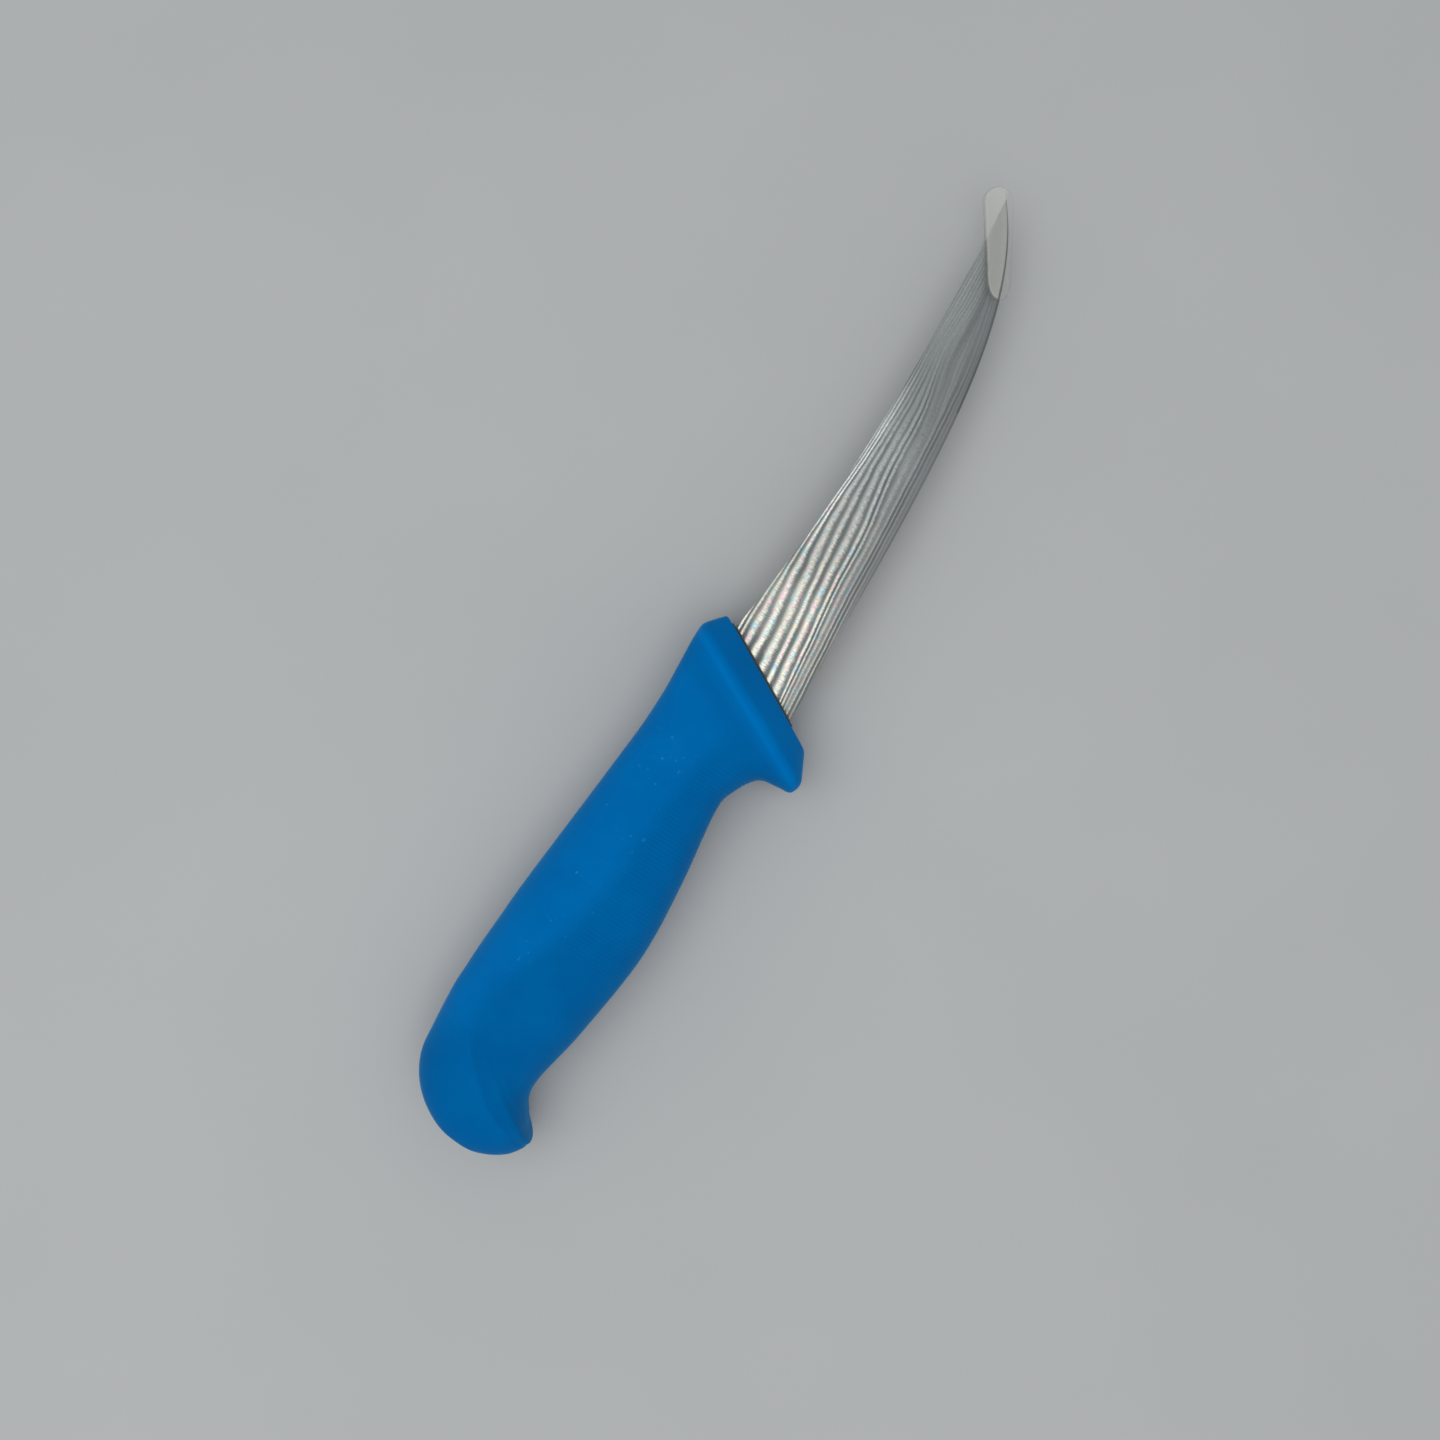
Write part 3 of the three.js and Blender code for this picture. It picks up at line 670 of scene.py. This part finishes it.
def tang_shell():
    """Points and faces of the plate inside the handle, with a round end and three holes."""
    curve = bpy.data.curves.new("tang_outline", "CURVE")
    curve.dimensions = "2D"
    curve.fill_mode = "BOTH"
    curve.extrude = BLADE_THICK / 2
    radius, middle = (TANG_SPINE - TANG_BELLY) / 2, (TANG_SPINE + TANG_BELLY) / 2
    turn = np.linspace(math.pi / 2, math.pi * 1.5, 24)
    end = [(TANG_END + radius + radius * math.cos(a), middle + radius * math.sin(a)) for a in turn]
    root = [(y * SLANT - HEEL_INSET / 2, y) for y in (TANG_BELLY, TANG_SPINE)]
    circle = np.linspace(0, 2 * math.pi, 32, endpoint=False)
    holes = [
        [(x + TANG_HOLE_RADIUS * math.cos(a), middle + TANG_HOLE_RADIUS * math.sin(a)) for a in circle]
        for x in TANG_HOLES
    ]
    for outline in (root + end, *holes):
        line = curve.splines.new("POLY")
        line.points.add(len(outline) - 1)
        line.use_cyclic_u = True
        for point, (x, y) in zip(line.points, outline):
            point.co = (x, y, 0, 1)
    plate = bpy.data.objects.new("tang_outline", curve)
    mesh = bpy.data.meshes.new_from_object(plate)
    points = [tuple(v.co) for v in mesh.vertices]
    faces = [tuple(p.vertices) for p in mesh.polygons]
    bpy.data.objects.remove(plate)
    bpy.data.curves.remove(curve)
    bpy.data.meshes.remove(mesh)
    return points, faces


def make_blade():
    heel = np.array((HEEL_SPINE * SLANT, HEEL_SPINE)), np.array((HEEL_EDGE * SLANT, HEEL_EDGE))

    def ends(t):
        spine = bezier(heel[0], SPINE_CONTROLS, POINT, t)
        return np.hstack([spine, bezier(heel[1], EDGE_CONTROLS, POINT, t)])

    chords = ends(even_shares(ends, BLADE_RING_GAP)[:-1])[::-1]
    behind = chords[-1] - np.outer(np.linspace(0.5, HEEL_INSET, 6), (1, 0, 1, 0))
    chords = np.vstack([chords, behind])
    spine, edge = chords[:, None, :2], chords[:, None, 2:]
    height = np.linalg.norm(spine - edge, axis=2)
    down = np.linspace(0, 1, BLADE_ACROSS)
    flat = spine + (edge - spine) * down[None, :, None]
    half = half_thickness(spine[:, :, 0], height, height * down)

    x, y = flat[:, :, 0].ravel(), flat[:, :, 1].ravel()
    above_edge = y - edge_height(x)
    level = band_level(x, above_edge)
    to_line = np.abs(level - np.round(level))
    half = half - GROOVE_DEPTH * np.exp(-((to_line / GROOVE_SPREAD) ** 2)).reshape(half.shape)

    upper = np.dstack([flat, half])
    lower = np.dstack([flat, -half])[:, ::-1]
    rings = np.hstack([upper, lower])
    heel_middle = (chords[-1, :2] + chords[-1, 2:]) / 2
    mesh = skin("blade_steel", rings, (*POINT, 0), (*heel_middle, 0))

    def both_sides(values, at_point, at_heel):
        side = np.asarray(values).reshape(half.shape)
        return np.concatenate([np.hstack([side, side[:, ::-1]]).ravel(), [at_point, at_heel]])

    point_values(mesh, "along", both_sides(x, POINT[0], -HEEL_INSET))
    point_values(mesh, "above_edge", both_sides(above_edge, 0, 0))
    point_values(mesh, "level", both_sides(level, 0.5, 0.5))
    point_values(mesh, "ahead", both_sides(x - y * SLANT - 0.5, POINT[0], -HEEL_INSET))
    finish_piece("blade_skin", mesh, "knife", "blade", blade_steel(), BLADE_SHARP_DEG)


def make_tang():
    points, faces = tang_shell()
    mesh = bpy.data.meshes.new("tang")
    mesh.from_pydata(place(points), [], faces)
    for name, value in (("along", -40.0), ("above_edge", 8.0), ("level", 0.5), ("ahead", 40.0)):
        point_values(mesh, name, np.full(len(points), value))
    material = bpy.data.materials["blade_steel"]
    finish_piece("tang", mesh, "knife", "blade", material, BLADE_SHARP_DEG)


# Handle


def butt_back(share):
    """Spine point of the round butt at a share of its quarter turn."""
    turn = math.pi / 2 * (1 - share)
    power = 2 / BUTT_SQUARE
    x = BUTT_CENTRE[0] - BUTT_LENGTH * abs(math.cos(turn)) ** power
    return x, BUTT_CENTRE[1] + BUTT_HEIGHT * math.sin(turn) ** power


def butt_belly(share):
    """Belly point of the round butt, from the hook's tip, at a share of its quarter turn."""
    turn = math.pi / 2 * (1 - share)
    x = HOOK_TIP[0] - (HOOK_TIP[0] - BUTT_END) * math.cos(turn)
    return x, BUTT_CENTRE[1] - (BUTT_CENTRE[1] - HOOK_TIP[1]) * math.sin(turn)


def handle_sections():
    """Sections from the crest to the butt, with the butt's arcs added."""
    rows = list(GRIP_SECTIONS)
    rows.append((*butt_back(0), *butt_belly(0.5 / BUTT_STEPS), BUTT_HALF, GRIP_SQUARE))
    for i in range(1, BUTT_STEPS + 1):
        share = i / BUTT_STEPS
        half = BUTT_HALF * math.sqrt(1 - share**3)
        rows.append((*butt_back(share), *butt_belly(share), half, GRIP_SQUARE))
    return np.array(rows)


def section_rings(sections, inset, count=GRIP_AROUND):
    """Rounded sections, each drawn in by the inset."""
    spine, belly = sections[:, :2], sections[:, 2:4]
    half, power = sections[:, 4:5], 2 / sections[:, 5:6]
    turn = np.arange(count) / count * 2 * np.pi
    across = np.sign(np.cos(turn)) * np.abs(np.cos(turn)) ** power
    up = np.sign(np.sin(turn)) * np.abs(np.sin(turn)) ** power * (half - inset)
    arm = (spine - belly) / 2
    arm = arm * (1 - inset / np.linalg.norm(arm, axis=1, keepdims=True))
    flat = ((spine + belly) / 2)[:, None] + arm[:, None] * across[:, :, None]
    return np.dstack([flat, up])


def rounded_corner(before, corner, after, steps=6):
    """Rings that turn smoothly from one ring to another round a corner ring."""
    t = np.linspace(0, 1, steps + 2)[:, None, None]
    return (1 - t) ** 2 * before + 2 * t * (1 - t) * corner + t**2 * after


def pull_to(ring, other, distance):
    """A ring moved towards another by a distance."""
    gap = other - ring
    return ring + gap * np.minimum(distance / np.linalg.norm(gap, axis=1, keepdims=True), 0.45)


def dark_side(x, y):
    """1 on the belly side of the grip, 0 on the spine side."""
    softness = 3 + 4 * smooth(x, -85, -105)
    return smooth((y - np.interp(x, DARK_SIDE_X, DARK_SIDE_TOP)) / softness, 1, -1)


def rib_height(x, y):
    """Ribs across the belly side, from 0 to 1, which fade out towards the spine, guard and butt."""
    there = smooth(x, RIB_FRONT + 2, RIB_FRONT - 2) * smooth(x, RIB_BACK - 6, RIB_BACK + 6)
    there = there * dark_side(x, y)
    return there * (0.5 - 0.5 * np.cos(2 * np.pi * x / RIB_PITCH))


def add_ribs(rings):
    """Rings with shallow ribs cut into them."""
    away = rings - rings.mean(axis=1, keepdims=True)
    away = away / np.linalg.norm(away, axis=2, keepdims=True)
    return rings - away * (RIB_DEPTH * rib_height(rings[:, :, 0], rings[:, :, 1]))[:, :, None]


def make_grip():
    sections = handle_sections()
    shares = even_shares(lambda t: spline(sections, t)[:, :4], GRIP_RING_GAP)[:-1]
    body = add_ribs(section_rings(spline(sections, shares), 0))
    face = section_rings(np.array([FACE_SECTION]), 0)[0]

    from_crest = np.linalg.norm(body - body[0], axis=2).max(axis=1)
    start = int(np.argmax(from_crest > CREST_ROUND))
    crest = rounded_corner(pull_to(body[0], face, CREST_ROUND), body[0], body[start])
    inward = pull_to(face, face.mean(axis=0), FACE_ROUND)
    face_edge = rounded_corner(inward, face, pull_to(face, body[0], FACE_ROUND))
    outside = np.vstack([face_edge, crest, body[start + 1:]])
    outside[:, :, 2] = np.clip(outside[:, :, 2], -CHEEK_HALF, CHEEK_HALF)

    top, bottom = HEEL_SPINE + SLOT_MARGIN, HEEL_EDGE - SLOT_MARGIN
    slot_section = (top * SLANT, top, bottom * SLANT, bottom, BLADE_THICK / 2 + SLOT_MARGIN, SLOT_SQUARE)
    slot = section_rings(np.array([slot_section]), 0)[0]
    behind_wall = slot - np.array((FACE_WALL * math.hypot(1, SLANT), 0, 0))

    inner_face = section_rings(np.array([FACE_SECTION]), SKIN)[0]
    inner_sections = spline(sections, np.linspace(0, CAVITY_REACH, CAVITY_RINGS))
    inner_sections = inner_sections[inner_sections[:, 4] > CAVITY_END_HALF]
    inner = section_rings(inner_sections, SKIN)
    setback = (inner[0, :, 1] * SLANT - inner[0, :, 0]) / math.hypot(1, SLANT)
    wall = inner_face + (inner[0] - inner_face) * (FACE_WALL / setback)[:, None]

    rings = np.vstack([inner[::-1], wall[None], behind_wall[None], slot[None], outside])
    cavity_end = inner[-1].mean(axis=0)
    mesh = skin("grip", rings, cavity_end, (BUTT_END, BUTT_CENTRE[1], 0))
    x, y = rings[:, :, 0], rings[:, :, 1]
    # Painted light and shade: a highlight along the guard's crest, shade in the valley behind it and on the
    # bevel before it, light and shade either side of the butt's crease, shade on the belly side and in the
    # rib grooves
    behind_crest = CREST_LINE[0] + CREST_LINE[1] * y - x
    ahead_of_crease = x - np.interp(y, CREASE_Y, CREASE_X)
    step = CREASE_LIGHT - CREASE_STEP * smooth(ahead_of_crease, -0.7, 0.7)
    step = step * np.exp(-((ahead_of_crease / CREASE_SPREAD) ** 2))
    belly_shade = BELLY_SHADE + LOW_SHADE * smooth(x, -60, -95)
    painted_light_and_shade = 1 - belly_shade * dark_side(x, y) * smooth(x, -12, -20)
    painted_light_and_shade += step * smooth(y, 17, 12) * smooth(y, -8, -4)
    painted_light_and_shade += CREST_LIGHT * np.exp(-(((behind_crest - CREST_BEHIND) / CREST_SPREAD) ** 2))
    painted_light_and_shade -= VALLEY_SHADE * np.exp(-(((behind_crest - VALLEY_BEHIND) / VALLEY_SPREAD) ** 2))
    painted_light_and_shade -= BEVEL_SHADE * smooth(behind_crest, 0.8, -0.5)
    painted_light_and_shade -= RIB_SHADE * rib_height(x, y)
    point_values(mesh, "painted_light_and_shade", np.concatenate([painted_light_and_shade.ravel(), [HIDDEN_TONE, HIDDEN_TONE]]))
    worn = WORN_SHARE * smooth(x, -18, -24) * smooth(x, -95, -86) * smooth(y, 3, 7) * smooth(y, 19, 15)
    point_values(mesh, "worn", np.concatenate([worn.ravel(), [0, 0]]))
    finish_piece("grip_skin", mesh, "knife", "handle_grip", grip_plastic(), GRIP_SHARP_DEG)


# Tip guard


def tip_frame():
    """Directions along the guard and inward from the edge, and its ends and floor in them."""
    along = np.array((math.cos(TIP_TILT), math.sin(TIP_TILT)))
    inward = np.array((-math.sin(TIP_TILT), math.cos(TIP_TILT)))
    x = np.linspace(POINT[0] - TIP_LENGTH, POINT[0], 200)
    edge = np.column_stack([x, edge_height(x)])
    floor = (edge @ inward).min() - FIT
    far = POINT @ along + TIP_END
    return along, inward, far - TIP_LENGTH, far, floor


def tip_outline(near, far, middle, grow):
    """Plan of the tip guard's flat in its own axes, grown outwards: round far end, longer near end."""
    radius = TIP_WIDTH / 2 - TIP_ROUND
    near_reach, near_half = TIP_NEAR_LENGTH - TIP_ROUND, TIP_NEAR_WIDTH / 2 - TIP_ROUND
    turn = np.radians(np.linspace(-90, 90, TIP_TURN_POINTS))
    out = np.column_stack([np.cos(turn), np.sin(turn)])
    far_end = out * radius + (far - TIP_WIDTH / 2, middle)
    near_end = -out * (near_reach, near_half) + (near + TIP_NEAR_LENGTH, middle)
    near_out = -out * (near_half, near_reach)
    near_out = near_out / np.linalg.norm(near_out, axis=1, keepdims=True)
    share = np.linspace(0, 1, TIP_SIDE_POINTS + 2)[1:-1, None]
    back = far_end[-1] + (near_end[0] - far_end[-1]) * share
    forth = near_end[-1] + (far_end[0] - near_end[-1]) * share
    points = np.vstack([far_end, back, near_end, forth])
    back_out, forth_out = (np.tile((0, side), (TIP_SIDE_POINTS, 1)) for side in (1, -1))
    away = np.vstack([out, back_out, near_out, forth_out])
    return points + away * grow


def slot_cutter(along, inward, near, far, low, high, thick):
    """The space cut out of the tip guard for the blade."""
    corners = [
        (*(a * along + b * inward), z)
        for z in (-thick / 2, thick / 2)
        for a, b in ((near, low), (far, low), (far, high), (near, high))
    ]
    faces = [(3, 2, 1, 0), (4, 5, 6, 7), (0, 1, 5, 4), (1, 2, 6, 5), (2, 3, 7, 6), (3, 0, 4, 7)]
    mesh = bpy.data.meshes.new("tip_slot")
    mesh.from_pydata(place(corners), [], faces)
    cutter = bpy.data.objects.new("tip_slot", mesh)
    bpy.context.scene.collection.objects.link(cutter)
    return cutter


def make_tip_guard():
    along, inward, near, far, floor = tip_frame()
    middle = floor - TIP_WALL + TIP_WIDTH / 2
    axes = np.array((along, inward))
    centre = np.array(((near + far) / 2, middle))
    half = TIP_THICK / 2

    def ring(plan, z):
        return np.column_stack([plan @ axes, np.full(len(plan), z)])

    flat = tip_outline(near, far, middle, 0)
    turn = np.radians(np.linspace(0, 90, TIP_ROUND_RINGS))
    shares = np.linspace(0.1, 0.9, TIP_FLAT_RINGS)
    top = [ring(centre + (flat - centre) * share, half) for share in shares]
    for angle in turn[::-1]:
        plan = tip_outline(near, far, middle, TIP_ROUND * math.cos(angle))
        top.append(ring(plan, half - TIP_ROUND + TIP_ROUND * math.sin(angle)))
    bottom = [level * (1, 1, -1) for level in top[::-1]]
    ends = [(*(centre @ axes), z) for z in (half, -half)]
    mesh = skin("tip_guard", np.array(top + bottom), *ends)

    near_x = (np.array((near, middle)) @ axes)[0]
    thick = BLADE_THICK + (POINT_THICK - BLADE_THICK) * near_x / POINT[0] + 2 * FIT
    slot_end = POINT @ along + FIT
    slot_start, slot_top = near - SLOT_BEHIND, floor + SLOT_DEEP
    cutter = slot_cutter(along, inward, slot_start, slot_end, floor, slot_top, thick)
    body = bpy.data.objects.new("tip_guard_body", mesh)
    bpy.context.scene.collection.objects.link(body)
    cut = body.modifiers.new("slot", "BOOLEAN")
    cut.operation = "DIFFERENCE"
    cut.solver = "EXACT"
    cut.object = cutter
    made = bpy.data.meshes.new_from_object(body.evaluated_get(bpy.context.evaluated_depsgraph_get()))
    bpy.data.objects.remove(body)
    bpy.data.objects.remove(cutter)

    points = (np.array([v.co for v in made.vertices]) - DATUM) / MM
    x, y, z = points.T
    outline = tip_outline(near, far, middle, TIP_ROUND) @ axes
    inside = np.linalg.norm(points[:, None, :2] - outline, axis=2).min(axis=1)
    point_values(made, "top", smooth(z, half - TIP_ROUND, half - TIP_ROUND / 2))
    point_values(made, "inside", inside)
    point_values(made, "share", (points[:, :2] @ along - near) / (far - near))
    point_values(made, "above_edge", y - edge_height(x))
    material = tip_plastic()
    finish_piece("tip_guard_skin", made, "tip_guard", "tip_guard", material, TIP_SHARP_DEG)


make_blade()
make_tang()
make_grip()
make_tip_guard()

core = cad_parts["handle_core"]
core.data.materials.clear()
core.data.materials.append(core_plastic())


# Floor, light and camera


def make_floor():
    mesh = bpy.data.meshes.new("floor")
    corners = [(x * FLOOR_HALF, y * FLOOR_HALF, 0) for x, y in ((-1, -1), (1, -1), (1, 1), (-1, 1))]
    mesh.from_pydata(corners, [], [(0, 1, 2, 3)])
    mesh.materials.append(floor_paint())
    floor = bpy.data.objects.new("floor", mesh)
    floor.location.z = cad_box[0].z
    bpy.context.scene.collection.objects.link(floor)


def make_light():
    """A room that is darker straight above, and a soft panel over the handle."""
    world = bpy.data.worlds.new("room")
    world.use_nodes = True
    tree = world.node_tree
    direction = add_node(tree, "ShaderNodeTexCoord").outputs["Generated"]
    upward = add_node(tree, "ShaderNodeSeparateXYZ", {0: direction}).outputs[2]
    glow = colour_ramp(tree, upward, tuple(zip(ROOM_CHANGE, (ROOM_SIDES, ROOM_ABOVE))))
    tree.links.new(glow, tree.nodes["Background"].inputs["Color"])
    bpy.context.scene.world = world

    light = bpy.data.lights.new("ceiling", "AREA")
    light.shape = "RECTANGLE"
    light.size, light.size_y = PANEL_SIZE
    light.energy = PANEL_POWER
    lamp = bpy.data.objects.new("ceiling", light)
    lamp.location = (*PANEL_OVER, PANEL_HEIGHT)
    lamp.rotation_euler = Vector((0, 0, -1)).to_track_quat("-Z", "Y").to_euler()
    bpy.context.scene.collection.objects.link(lamp)


def make_camera():
    """A camera straight above, turned as in the photo."""
    data = bpy.data.cameras.new("camera")
    data.sensor_width = SENSOR
    data.lens = SENSOR * CAMERA_HEIGHT / PICTURE_WIDTH
    data.clip_start, data.clip_end = 0.01, 50
    camera = bpy.data.objects.new("camera", data)
    camera.location = place((*CAMERA_OVER, CAMERA_HEIGHT))
    camera.rotation_euler = (0, 0, -PICTURE_ANGLE)
    bpy.context.scene.collection.objects.link(camera)
    bpy.context.scene.camera = camera


make_floor()
make_light()
make_camera()
bpy.context.scene.view_settings.view_transform = "Standard"
